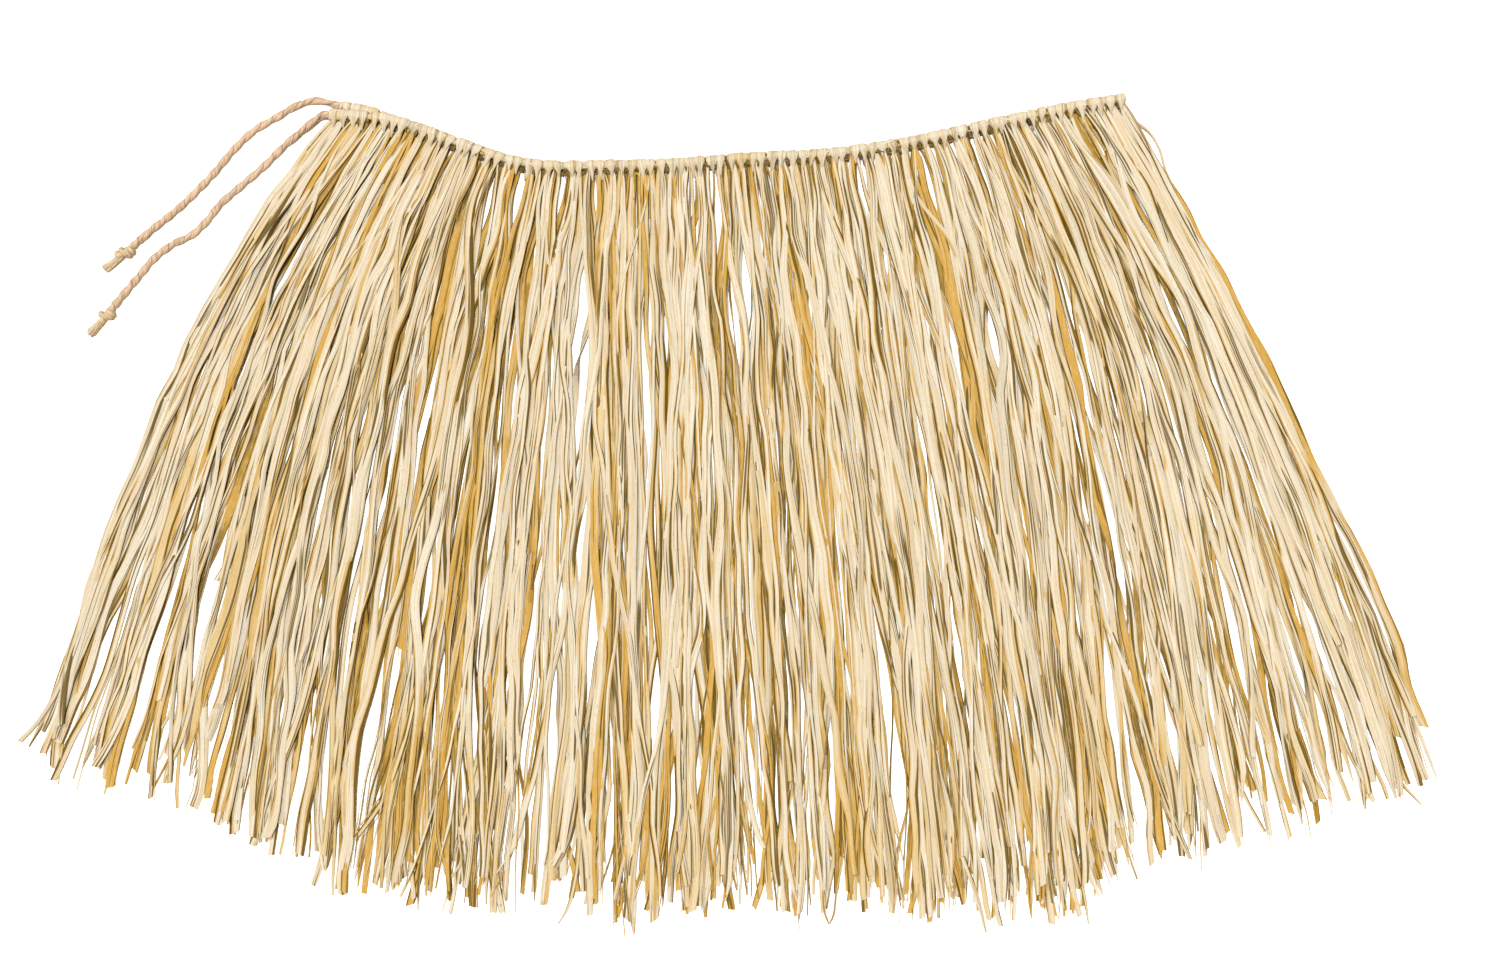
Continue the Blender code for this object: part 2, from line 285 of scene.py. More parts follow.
class Fan:
    """The sheet that one half's strands lie in. Across runs from the tied end to the fold, down from waist to hem."""

    NEAR = 0.004  # share of the waist either side of a place that its direction is taken over

    def __init__(self, end):
        self.waist = np.array(end + WAIST_RUN) * MM
        lengths = lengths_along(self.waist)
        self.waist_length = lengths[-1]
        self.waist_at = lengths / lengths[-1]
        self.guides = np.array(GUIDES)
        self.guides[:, 1:3] *= MM
        hem_x = self.guides[:, 1]
        self.guides_at = (self.guides[:, 0] + (hem_x - hem_x[0]) / (hem_x[-1] - hem_x[0])) / 2
        self.table = np.linspace(0, 1.03, 801)
        self.shares = np.maximum.accumulate(smooth(self.guides_at, self.guides[:, :1], self.table)[:, 0])

    def across_at(self, share):
        """The place across the fan whose strand hangs from that share of the waist."""
        return np.interp(share, self.shares, self.table)

    def edge(self, share, depth):
        """Points the depth below the waist's top edge, and the way along and down it there."""
        share, depth = np.broadcast_arrays(np.asarray(share, float), np.asarray(depth, float))
        near = (0.0, self.NEAR, -self.NEAR)
        here, ahead, behind = (smooth(self.waist_at, self.waist, share.ravel() + more) for more in near)
        run = unit(ahead - behind)
        down = right_of(run)
        points = here + depth.reshape(-1, 1) * down
        return (part.reshape(*share.shape, 2) for part in (points, run, down))

    def points(self, across, down):
        """Points of the sheet, each at a place across it and a share of the way down it."""
        across, down = np.broadcast_arrays(across, down)
        t = down.reshape(-1, 1)
        waist, hem_x, hem_y, *leans = smooth(self.guides_at, self.guides, across.ravel()).T
        start, _, _ = self.edge(waist, HEADING_DEPTH)
        end = np.stack((hem_x, hem_y), axis=1)
        reach = np.linalg.norm(end - start, axis=1, keepdims=True)
        leave, arrive = (reach * np.stack((np.sin(lean), -np.cos(lean)), axis=1) for lean in np.radians(leans))
        cubic = 2 * t**3 - 3 * t**2 + 1
        flat = cubic * start + (1 - cubic) * end + (t**3 - 2 * t**2 + t) * leave + (t**3 - t**2) * arrive
        return flat.reshape(*across.shape, 2)


class Draws:
    """Random columns for a batch of strands, one row a strand."""

    def __init__(self, rng, count):
        self.rng, self.shape = rng, (count, 1)

    def even(self, low, high):
        return self.rng.uniform(low, high, self.shape)

    def about(self, middle, spread):
        return self.rng.normal(middle, spread, self.shape)

    def chance(self, share):
        return self.even(0, 1) < share

    def pick(self, choices, shares=None):
        return self.rng.choice(choices, self.shape, p=shares)

    def ripple(self, places, waves):
        """Smooth random runs along the places, mostly within -1 and 1."""
        total = 0.0
        for wave in waves:
            phase = self.even(0, math.tau)
            pace = self.even(0.7, 1.3) * wave
            total = total + self.about(0, 0.8) * np.sin(math.tau * pace * places + phase)
        return total / math.sqrt(len(waves))


class Pile:
    """How high the strands laid so far reach at each place of the floor."""

    CELL = 1.2 * MM
    STEP = 1.6 * MM
    MARGIN = 40 * MM
    HELD = 30 * MM  # near its root a strand stays up at the cord's height

    def __init__(self, most_height):
        self.low = np.array(CAD_BOX[0][:2]) - self.MARGIN
        size = np.array(CAD_BOX[1][:2]) + self.MARGIN - self.low
        self.tops = np.zeros(np.ceil(size / self.CELL).astype(int) + 1)
        self.most = most_height

    def cells(self, points):
        index = ((points - self.low) / self.CELL).astype(int)
        index = np.clip(index, 0, np.array(self.tops.shape) - 1)
        return index[..., 0], index[..., 1]

    def rest(self, line, half_width, thickness, root_height, loft):
        """Lays a strand along the line, and gives how high its underside lies at each place."""
        at = lengths_along(line)
        fine_at = np.arange(0.0, at[-1], self.STEP)
        fine = read_along(fine_at, at, line)
        wide, thick, free = (np.interp(fine_at, at, values) for values in (half_width, thickness, loft))
        side = right_of(unit(np.gradient(fine, axis=0))) * wide[:, None]
        cells = self.cells(fine[:, None, :] + np.linspace(-0.8, 0.8, 7)[None, :, None] * side[:, None, :])
        under = np.sort(self.tops[cells], axis=1)[:, -2]
        padded = np.pad(under, 7, mode="edge")
        most = np.lib.stride_tricks.sliding_window_view(padded, 15).max(axis=1)
        kernel = np.exp(-(np.linspace(-2, 2, 27) ** 2))
        level = np.convolve(np.pad(most, 13, mode="edge"), kernel / kernel.sum(), mode="valid")
        level = level * 0.6 + under * 0.4 + free
        hold = np.exp(-((fine_at / self.HELD) ** 2))
        level = np.maximum(level, root_height * hold + level * (1 - hold))
        level = self.most * np.tanh(level / self.most)
        np.maximum.at(self.tops, cells, np.broadcast_to((level + thick)[:, None], cells[0].shape))
        return np.interp(at, fine_at, level)

    def buried(self, points):
        """How far below its neighbours' tops each point lies."""
        padded = np.pad(self.tops, 2, mode="edge")
        near = np.lib.stride_tricks.sliding_window_view(padded, (5, 5))
        high = 0.5 * near.max(axis=(2, 3)) + 0.5 * near.mean(axis=(2, 3))
        return high[self.cells(points[..., :2])] - points[..., 2]


# Node trees


class Wire:
    """A socket that Python's operators build nodes from."""

    def __init__(self, tree, socket):
        self.tree, self.socket = tree, socket

    def out(self, name):
        return Wire(self.tree, self.socket.node.outputs[name])

    def maths(self, operation, *values):
        vector = any(isinstance(v, Wire) and v.socket.type in ("VECTOR", "RGBA") for v in values)
        kind = "ShaderNodeVectorMath" if vector else "ShaderNodeMath"
        return self.tree.add(kind, {"operation": operation}, dict(enumerate(values)))

    def __add__(self, other):
        return self.maths("ADD", self, other)

    def __radd__(self, other):
        return self.maths("ADD", other, self)

    def __sub__(self, other):
        return self.maths("SUBTRACT", self, other)

    def __rsub__(self, other):
        return self.maths("SUBTRACT", other, self)

    def __mul__(self, other):
        return self.maths("MULTIPLY", self, other)

    def __abs__(self):
        return self.maths("ABSOLUTE", self)

    def scaled(self, factor):
        """The vector times a number."""
        return self.tree.add("ShaderNodeVectorMath", {"operation": "SCALE"}, {"Vector": self, "Scale": factor})

    def over(self, low, high):
        """0 at low and before it, 1 at high and beyond, eased between them."""
        settings = {"interpolation_type": "SMOOTHSTEP"}
        return self.tree.add("ShaderNodeMapRange", settings, {0: self, 1: float(low), 2: float(high)})


class Tree:
    """A node tree in the making."""

    def __init__(self, nodes, links):
        self.nodes, self.links = nodes, links

    def give(self, socket, value):
        if isinstance(value, Wire):
            self.links.new(value.socket, socket)
        else:
            socket.default_value = value

    def add(self, kind, settings=None, values=None, output=0):
        """Adds a node of that type: its settings first, then its sockets' values or links."""
        node = self.nodes.new(kind)
        for name, value in (settings or {}).items():
            setattr(node, name, value)
        for name, value in (values or {}).items():
            self.give(node.inputs[name], value)
        return Wire(self, node.outputs[output]) if node.outputs else node

    def attribute(self, name, output):
        return self.add("ShaderNodeAttribute", {"attribute_name": name}, output=output)

    def mix(self, factor, first, second):
        """A colour mixed from two."""
        node = self.nodes.new("ShaderNodeMix")
        node.data_type = "RGBA"
        sockets = {socket.identifier: socket for socket in node.inputs}
        self.give(sockets["Factor_Float"], factor)
        for name, value in (("A_Color", first), ("B_Color", second)):
            self.give(sockets[name], value if isinstance(value, Wire) else (*value[:3], 1.0))
        return Wire(self, next(s for s in node.outputs if s.identifier == "Result_Color"))

    def layered(self, colour, *layers):
        """The colour with each layer's factor and colour mixed over it in turn."""
        for factor, over in layers:
            colour = self.mix(factor, colour, over)
        return colour


# What the sweep reads at each point of a guide line
FIELDS = dict.fromkeys(("centre", "side", "lift", "cut"), "FLOAT_VECTOR") | dict.fromkeys(
    ("half_width", "half_thick", "fold", "gutter", "square", "crease", "twist", "tone", "along"), "FLOAT"
)


def swept_strand_tree():
    """Sweeps a round, flat or folded section along every poly-line of a guide mesh."""
    group = bpy.data.node_groups.new("swept_strand", "GeometryNodeTree")
    for name, kind in (("Guides", "Geometry"), ("Sides", "Int"), ("Finish", "Material")):
        group.interface.new_socket(name=name, in_out="INPUT", socket_type="NodeSocket" + kind)
    group.interface.new_socket(name="Strands", in_out="OUTPUT", socket_type="NodeSocketGeometry")
    tree = Tree(group.nodes, group.links)
    given = tree.add("NodeGroupInput", output="Guides")

    def read(name):
        settings = {"data_type": FIELDS.get(name, "FLOAT_VECTOR")}
        return tree.add("GeometryNodeInputNamedAttribute", settings, {"Name": name})

    def store(geometry, name, value):
        settings = {"data_type": "FLOAT_VECTOR", "domain": "POINT"}
        values = {"Geometry": geometry, "Name": name, "Value": value}
        return tree.add("GeometryNodeStoreNamedAttribute", settings, values)

    circle = tree.add("GeometryNodeCurvePrimitiveCircle", None, {"Resolution": given.out("Sides"), "Radius": 1.0})
    profile = store(circle, "section", tree.add("GeometryNodeInputPosition"))
    curves = tree.add("GeometryNodeMeshToCurve", None, {"Mesh": given})
    values = {"Curve": curves, "Profile Curve": profile, "Fill Caps": True}
    swept = tree.add("GeometryNodeCurveToMesh", None, values)
    x = tree.add("ShaderNodeSeparateXYZ", None, {0: read("section")}, output="X")
    y = x.out("Y")
    half_width, half_thick, twist = read("half_width"), read("half_thick"), read("twist")
    shifted = x + read("crease") * (1.0 - x * x)
    ridge = 1.0 - abs(x) * 1.3
    ridge = ridge.maths("MAXIMUM", ridge, 0.0)
    squared = y + read("square") * 0.5 * y * (1.0 - y * y)
    rise = half_thick * squared + read("fold") * (1.0 - abs(x)) + read("gutter") * ridge
    place = read("centre") + read("side").scaled(half_width * shifted)
    place = place + read("lift").scaled(rise) + read("cut").scaled(x)
    moved = tree.add("GeometryNodeSetPosition", None, {"Geometry": swept, "Position": place})
    moved = tree.add("GeometryNodeFlipFaces", None, {"Mesh": moved})
    cos, sin = twist.maths("COSINE", twist), twist.maths("SINE", twist)
    across, through = half_width * x, half_thick * y
    grain = {"X": across * cos - through * sin, "Y": across * sin + through * cos, "Z": read("along")}
    marked = store(moved, "grain", tree.add("ShaderNodeCombineXYZ", None, grain))
    whole = tree.add("GeometryNodeRealizeInstances", None, {0: marked})
    finished = tree.add("GeometryNodeSetMaterial", None, {"Geometry": whole, "Material": given.out("Finish")})
    tree.add("NodeGroupOutput", None, {"Strands": finished})
    return group


def strands(centre, half_width, half_thick, up=UP, roll=0.0, cut=0.0, start=0.0, tone=0.5, **shape):
    """What the sweep reads for a batch of strands: one row a strand, one column a place along it."""
    centre = np.asarray(centre, float)

    def full(value):
        value = np.asarray(value, float)
        return np.broadcast_to(value[:, None] if value.ndim == 1 else value, centre.shape[:2])

    run = unit(np.gradient(centre, axis=1))
    side = unit(np.cross(run, up))
    lift = np.cross(side, run)
    cos, sin = np.cos(full(roll))[..., None], np.sin(full(roll))[..., None]
    made = {
        "centre": centre,
        "side": side * cos + lift * sin,
        "lift": lift * cos - side * sin,
        "cut": run * full(cut)[..., None],
        "along": lengths_along(centre) + full(start),
    }
    given = {"half_width": half_width, "half_thick": half_thick, "tone": tone, **shape}
    return made | {field: full(given.get(field, 0.0)) for field in FIELDS if field not in made}


def section_reach(half_width, half_thick, fold, gutter, roll):
    """How far a strand's section reaches below and above its middle line."""
    angle = math.tau * np.arange(8) / 8
    x, y = np.cos(angle), np.sin(angle)
    squared = y + 0.5 * y * (1 - y * y)
    rise = half_thick[..., None] * squared + fold[..., None] * (1 - np.abs(x))
    rise = rise + gutter[..., None] * np.maximum(1 - 1.3 * np.abs(x), 0)
    heights = half_width[..., None] * x * np.sin(roll)[..., None] + rise * np.cos(roll)[..., None]
    return -heights.min(axis=-1), heights.max(axis=-1)


def guide_mesh(name, batches):
    """The batches' middle lines as poly-lines that carry what the sweep reads."""
    edges, base = [], 0
    for batch in batches:
        rows, columns = batch["centre"].shape[:2]
        index = base + np.arange(rows * columns).reshape(rows, columns)
        edges.append(np.stack((index[:, :-1].ravel(), index[:, 1:].ravel()), axis=1))
        base += rows * columns
    edges = np.concatenate(edges).astype(np.int32)
    values = {
        field: np.concatenate([batch[field].ravel() for batch in batches]).astype(np.float32) for field in FIELDS
    }
    mesh = bpy.data.meshes.new(name)
    mesh.vertices.add(base)
    mesh.vertices.foreach_set("co", values["centre"])
    mesh.edges.add(len(edges))
    mesh.edges.foreach_set("vertices", edges.ravel())
    for field, kind in FIELDS.items():
        data = mesh.attributes.new(field, kind, "POINT").data
        data.foreach_set("vector" if kind == "FLOAT_VECTOR" else "value", values[field])
    return mesh


def grow(name, batches, sides, finish, slot, crisp=18):
    """A piece swept from the batches, as a plain mesh that rides on the skirt. Edges over crisp degrees stay sharp."""
    tree = bpy.data.node_groups.get("swept_strand") or swept_strand_tree()
    piece = bpy.data.objects.new(name, guide_mesh(name + "_guides", batches))
    bpy.context.scene.collection.objects.link(piece)
    sweep = piece.modifiers.new("sweep", "NODES")
    sweep.node_group = tree
    inputs = {item.name: item.identifier for item in tree.interface.items_tree if item.in_out == "INPUT"}
    sweep[inputs["Sides"]] = sides
    sweep[inputs["Finish"]] = finish
    piece.update_tag()
    graph = bpy.context.evaluated_depsgraph_get()
    made = bpy.data.meshes.new_from_object(piece.evaluated_get(graph), preserve_all_data_layers=True, depsgraph=graph)
    if not made.polygons:
        raise RuntimeError(f"{name} grew no faces")
    piece.modifiers.clear()
    guides, piece.data = piece.data, made
    bpy.data.meshes.remove(guides)
    made.name = name
    for field in FIELDS:
        if field != "tone" and field in made.attributes:
            made.attributes.remove(made.attributes[field])
    made.shade_smooth()
    made.set_sharp_from_angle(angle=math.radians(crisp))
    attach(piece, BODY)
    return piece


# Finishes


def new_finish(name):
    """An empty material and the tree to build it in."""
    made = bpy.data.materials.new(name)
    made.use_nodes = True
    made.node_tree.nodes.clear()
    return made, Tree(made.node_tree.nodes, made.node_tree.links)


def surface(tree, colour, roughness, **values):
    """Ends the tree in a shader with those inputs."""
    values = {"Base Color": colour, "Roughness": roughness} | values
    shader = tree.add("ShaderNodeBsdfPrincipled", None, values)
    tree.add("ShaderNodeOutputMaterial", None, {"Surface": shader})


def grain_noise(tree, roughness):
    """A maker of noise that is stretched along the strands, its sizes across and along them in millimetres."""
    grain = tree.attribute("grain", "Vector")

    def noise(across, along, detail=2.0):
        stretched = grain * (1 / (across * MM), 1 / (across * MM), 1 / (along * MM))
        values = {"Vector": stretched, "Scale": 1.0, "Detail": detail, "Roughness": roughness}
        return tree.add("ShaderNodeTexNoise", None, values, output="Fac")

    return noise


def bump(tree, strength, distance, height):
    """The normal of a surface with that relief."""
    values = {"Strength": strength, "Distance": distance, "Height": height}
    return tree.add("ShaderNodeBump", None, values, output="Normal")


def raffia_finish(name, colours, shift=0.0, marks=1.0):
    """Split palm leaf: cream to gold by the strand's tone, with fibres, bands and blotches, and painted shade in its
    creases and along one edge.
    """
    made, tree = new_finish(name)
    noise = grain_noise(tree, 0.5)
    x = tree.add("ShaderNodeSeparateXYZ", None, {0: tree.attribute("section", "Vector")}, output="X")
    fibres = noise(0.42, 26.0)
    bands = noise(1.8, 90.0, 1.0)
    blotches = noise(14.0, 38.0)
    # Fine dark lines in crease brown: painted shade in the folds, partly the raffia's own dark fibres
    lines = abs(noise(1.7, 400.0, 1.0) - 0.5).over(0.07, 0.045) * noise(3.0, 80.0, 1.0).over(0.54, 0.58)
    pleats = abs(noise(1.3, 260.0, 1.0) - 0.5).over(0.10, 0.04)
    facing = x * (noise(9.0, 170.0, 1.0).over(0.47, 0.53) * 2.0 - 1.0) + (bands - 0.5) * 0.5
    # Painted shade: a golden strip down one side of a ribbon, as on a flank turned from the light
    strip = facing.over(0.28, 0.34) * noise(7.0, 110.0, 1.0).over(0.44, 0.49)
    # Painted shadow: a dark line along one edge, where a neighbouring ribbon would shade it
    shadowed_edge = facing.over(0.62, 0.68) * noise(5.0, 110.0, 1.0).over(0.49, 0.53)
    # The tone is the raffia's own ripeness with painted shade added to it: for buried ribbons, for the back half below
    # the cord, and for the dark splinters, specks and strip under the hitches. Past 1.15 it turns crease brown and
    # past 1.6 near-black, as painted shade.
    ripeness_and_shade = tree.attribute("tone", "Fac") + shift + (bands - 0.5) * 0.35 + (blotches - 0.5) * 0.25
    colour = tree.layered(
        colours.cream,
        (ripeness_and_shade.over(0.10, 0.36), colours.straw),
        # Painted shade: the golden strip
        (strip * (0.8 * marks), colours.gold),
        (ripeness_and_shade.over(0.40, 0.58), colours.gold),
        (ripeness_and_shade.over(0.92, 1.12), colours.olive),
        (ripeness_and_shade.over(1.15, 1.35), colours.crease),
        (ripeness_and_shade.over(1.6, 1.9), [0.15 * part for part in colours.crease]),
        (fibres.over(0.5, 0.70) * 0.36, colours.gold),
        (pleats * 0.35, colours.gold),
        (noise(0.8, 5.0, 1.0).over(0.45, 0.75) * 0.35, colours.straw),
        (noise(0.5, 1.6, 1.0).over(0.60, 0.80) * 0.45, colours.olive),
        # The crease lines, partly painted shade, then the shadowed edge, painted shadow
        (lines * (0.95 * marks), colours.crease),
        (shadowed_edge * marks, colours.crease),
    )
    normal = bump(tree, 0.5, 0.25 * MM, fibres * 0.5 + bands * 0.8 - lines * 0.8)
    surface(tree, colour, 0.46 + fibres * 0.24, **{"Normal": normal, "Specular IOR Level": 0.1})
    return made


def tie_finish(name, colours):
    """Paper-smooth twisted bast: pinkish beige, browner in its creases."""
    made, tree = new_finish(name)
    noise = grain_noise(tree, 0.6)
    tone = tree.attribute("tone", "Fac")
    fibres, creases, blotches = noise(0.32, 14.0, 3.0), noise(0.9, 30.0), noise(3.0, 18.0, 3.0)
    colour = tree.layered(
        colours.tie,
        (blotches.over(0.35, 0.7) * 0.55, colours.straw),
        (fibres.over(0.5, 0.72) * 0.55, colours.tie_crease),
        (creases.over(0.54, 0.64) * 0.8, colours.tie_crease),
        (tone, colours.tie_crease),
        # A negative tone pales towards straw: partly the paler raw fibre of knots and tails, partly painted light
        # against the shade in the knots
        (tone * -1.0, colours.straw),
    )
    relief = fibres * 0.7 - creases.over(0.5, 0.72) * 0.8
    surface(tree, colour, 0.5 + fibres * 0.25, Normal=bump(tree, 0.7, 0.3 * MM, relief))
    return made


def floor_finish(name, colours):
    made, tree = new_finish(name)
    place = tree.add("ShaderNodeTexCoord", output="Object")
    mottle = tree.add("ShaderNodeTexNoise", None, {"Vector": place, "Scale": 40.0, "Detail": 3.0}, output="Fac")
    surface(tree, tree.mix(mottle, colours.floor, [0.985 * part for part in colours.floor]), 0.85)
    return made


# Stage


def make_stage(colours):
    """The floor, two soft suns, the sky's fill and the camera above."""
    scene = bpy.context.scene

    def place(name, data, location=(0.0, 0.0, 0.0), turn=(0.0, 0.0, 0.0)):
        made = bpy.data.objects.new(name, data)
        made.location, made.rotation_euler = location, turn
        scene.collection.objects.link(made)
        return made

    lens = bpy.data.cameras.new("camera")
    lens.lens, lens.sensor_width = 85.0, 36.0
    lens.clip_start, lens.clip_end = 0.05, 50.0
    away = VIEW_WIDTH * lens.lens / lens.sensor_width
    scene.camera = place("camera", lens, (7.6 * MM, 15.8 * MM, 8 * MM + away))
    for name, strength, spread, lean in (("top_light", 3.65, 5.0, 4.0), ("key_light", 1.82, 4.0, 25.0)):
        light = bpy.data.lights.new(name, "SUN")
        light.energy, light.angle = strength, math.radians(spread)
        place(name, light, (0.0, 0.0, 1.5), (math.radians(lean), 0.0, math.radians(LIGHT_TURN)))
    scene.world = bpy.data.worlds.new("studio")
    scene.world.use_nodes = True
    backdrop = scene.world.node_tree.nodes["Background"].inputs
    backdrop["Color"].default_value = (1.0, 0.70, 0.26, 1.0)
    backdrop["Strength"].default_value = 0.42
    scene.view_settings.view_transform = "Standard"

    floor = bpy.data.meshes.new("floor")
    corners = [(x * FLOOR_REACH, y * FLOOR_REACH, 0.0) for x, y in ((-1, -1), (1, -1), (1, 1), (-1, 1))]
    floor.from_pydata(corners, [], [(0, 1, 2, 3)])
    floor.materials.append(floor_finish("floor_finish", colours))
    place("floor", floor)


# Ties


def twisted(route, ply_radius, offset, pitch, tone=0.0, slack=1 * MM):
    """Two plies laid round each other along the route. The lay is slacker over the first stretch."""
    at = lengths_along(route)
    run = unit(np.gradient(route, axis=0))
    side = unit(np.cross(run, UP))
    lift = np.cross(side, run)
    turn = math.tau * (at - slack * 0.45 * (1 - np.exp(-at / slack))) / pitch
    plies = np.stack([route + offset * swung(turn + phase, side, lift) for phase in (0.0, math.pi)])
    return strands(plies, ply_radius, ply_radius, twist=-2.2 * turn[None], tone=tone, start=np.array((0.0, 3.1)))


def knot_and_tail(rng, end, heading, gap, turns, knot_length, knot_width, tail_length):
    """A stopper knot, the gap past the rope's end, with its cut tail: leaning turns, and the tail's fibres flaring."""
    heading = unit(np.append(heading[:2], 0.0))
    side = np.cross(heading, UP)
    begin = end + heading * gap
    core = end + heading * np.linspace(-2 * MM, gap + knot_length + 0.7 * tail_length, 40)[:, None]
    core[:, 2] = np.interp(np.linspace(0, 1, 40), (0, 0.25, 0.6, 1), (end[2], KNOT_Z, 4.4 * MM, 2.9 * MM))
    # The negative tones pale the knot and its tail: partly paler raw fibre, partly painted light against the knot's
    # shade
    batches = [twisted(core, 1.35 * MM, 0.8 * MM, 10 * MM, -0.3)]

    strand = 1.6 * MM
    radius = knot_width / 2 - strand
    u = np.linspace(0, 1, int(30 * turns))
    angle = math.tau * turns * u + 0.6
    tuck = np.minimum(eased(u * 6), eased((1 - u) * 6))
    swing = radius * (0.2 + 0.8 * tuck)
    middle = begin + heading * (strand + (knot_length - 2 * strand) * u)[:, None]
    loop = middle + heading * (1.5 * MM * np.cos(angle))[:, None] + side * (swing * np.cos(angle))[:, None]
    loop[:, 2] = KNOT_Z + swing * np.sin(angle)
    outward = swung(angle, side, UP)
    for phase in (0.0, math.pi):
        swirl = angle * 1.3 + phase
        ply = loop + 0.4 * strand * swung(swirl, outward, heading)
        shape = {"up": outward[None], "twist": -2 * swirl[None], "tone": -0.45, "start": phase}
        batches.append(strands(ply[None], 0.78 * strand, 0.78 * strand, **shape))

    draw = Draws(rng, 34)
    spot = draw.even(0, 1) ** 0.5
    bearing = draw.even(0, math.tau)
    s = np.linspace(0, 1, 16)
    reach = tail_length * draw.even(0.82, 1.0)
    flare = (1.7 + 0.9 * s**1.5) * MM
    bend = (draw.about(0, 0.4) + 0.9 * math.sin(turns)) * MM * s**2
    line = begin + heading * (knot_length - 1.0 * MM + s * reach)[..., None]
    line = line + side * (flare * (spot * np.cos(bearing)) + bend)[..., None]
    line[..., 2] = (4.5 - 1.6 * s) * MM + flare * (spot * np.sin(bearing)) * 0.9
    line[..., 2] = np.maximum(line[..., 2], 0.5 * MM)
    tail = strands(
        line,
        draw.even(0.4, 0.8) * MM * (1 - 0.35 * s**6),
        0.3 * MM,
        roll=draw.even(-1, 1),
        twist=draw.even(0, 6),
        tone=draw.even(-0.8, 0.1),
        start=draw.even(0, 9),
    )
    return [*batches, tail]


def make_ties(sizes, colours):
    """The two ties, each a rope with its end knot."""
    rng = np.random.default_rng(sizes.seed + 1)
    finish = tie_finish("tie_finish", colours)
    for half, route, exit_at, gap, turns, *shape in (
        ("front", FRONT_TIE, (-238.3, 235.6, 7.5), 3.6, 1.6, 7.0, 9.0, 13.5),
        ("back", BACK_TIE, (-232.4, 241.4, 2.4), 5.2, 2.2, 9.6, 8.6, 12.5),
    ):
        line = even_route(route, 0.9 * MM)
        plies = twisted(line, 1.6 * MM, 0.64 * MM, sizes.tie_pitch, slack=60 * MM)
        rope = grow(f"tie_{half}_rope", [plies], 10, finish, "tie_cord", 60)
        heading = line[-1] - line[-8]
        batches = knot_and_tail(rng, line[-1], heading, gap * MM, turns, *(size * MM for size in shape))
        knot = grow(f"tie_{half}_end_knot", batches, 10, finish, "tie_cord", 60)
        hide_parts(f"tie_{half}")
        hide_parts(f"tie_knot_{half}")
        round(float(lengths_along(line)[-1]), 4)


# Waist cord and hitches


def band(fan, share, depth, height):
    """Points over the waist cord at that share along it, that deep below its top edge and that high."""
    points, run, down = fan.edge(share, depth)
    height = np.broadcast_to(height, points.shape[:-1])[..., None]
    parts = ((points, height), (run, 0.0 * height), (down, 0.0 * height))
    return (np.concatenate(part, axis=-1) for part in parts)


def make_waist_cord(colours):
    """The cord inside the hitches: along the front, round the fold, and back along the other half."""
    finish = raffia_finish("waist_cord_raffia", colours, -0.1)
    for half, end, height, tone, wrap_radius in (
        ("front", FRONT_END, HIGH_CORD_Z, 0.35, 3.3),
        ("back", BACK_END, LOW_CORD_Z, 0.7, 2.5),
    ):
        fan = Fan(end)
        line, run, _ = band(fan, np.linspace(0, 1, 150), WAIST_CORD_D / 2, height)
        if half == "front":
            angle = np.linspace(0, math.pi, 14)[1:]
            rise = (HIGH_CORD_Z - LOW_CORD_Z) / 2
            turn = line[-1] + run[-1] * (2.5 * MM * np.sin(angle))[:, None]
            turn[:, 2] = LOW_CORD_Z + rise + rise * np.cos(angle)
            line = np.concatenate((line, turn))
        aside = unit(np.array((0.25, -1.0, 0.0)))
        twist = lengths_along(line)[None] / (7 * MM)
        core = strands(line[None], 2.1 * MM, 2.1 * MM, up=aside, twist=twist, tone=tone)

        # A few turns of raffia bind the tied end
        turns = 4
        u = np.linspace(0, 1, 90)
        angle = math.tau * turns * u
        middle, _, down = band(fan, (0.4 + 9.0 * u) * MM / fan.waist_length, WAIST_CORD_D / 2, height)
        outward = swung(angle, down, UP)
        wrap = middle + outward * wrap_radius * MM
        wrap[:, 2] = np.maximum(wrap[:, 2], 0.5 * MM)
        bound = strands(wrap[None], 1.15 * MM, 0.3 * MM, up=outward[None], fold=0.15 * MM, tone=0.0, start=2.0)
        piece = grow(f"waist_cord_{half}_core", [core, bound], 8, finish, "waist_cord")
        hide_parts(f"waist_cord_{half}")


def hitch_places(sizes, half):
    """Shares along the waist of one half's hitches, which crowd together in uneven pairs."""
    rng = np.random.default_rng(sizes.seed + (11 if half == "front" else 12))
    pitch = PAST_FOLD / sizes.hitches
    k = np.arange(sizes.hitches)
    way = np.where(k % 2 == 0, 1.0, -1.0) * np.where(rng.uniform(0, 1, len(k)) < 0.8, 1, -1)
    return (k + 0.5 + way * rng.uniform(0.0, 0.17, len(k)) + rng.normal(0, 0.03, len(k))) * pitch, pitch


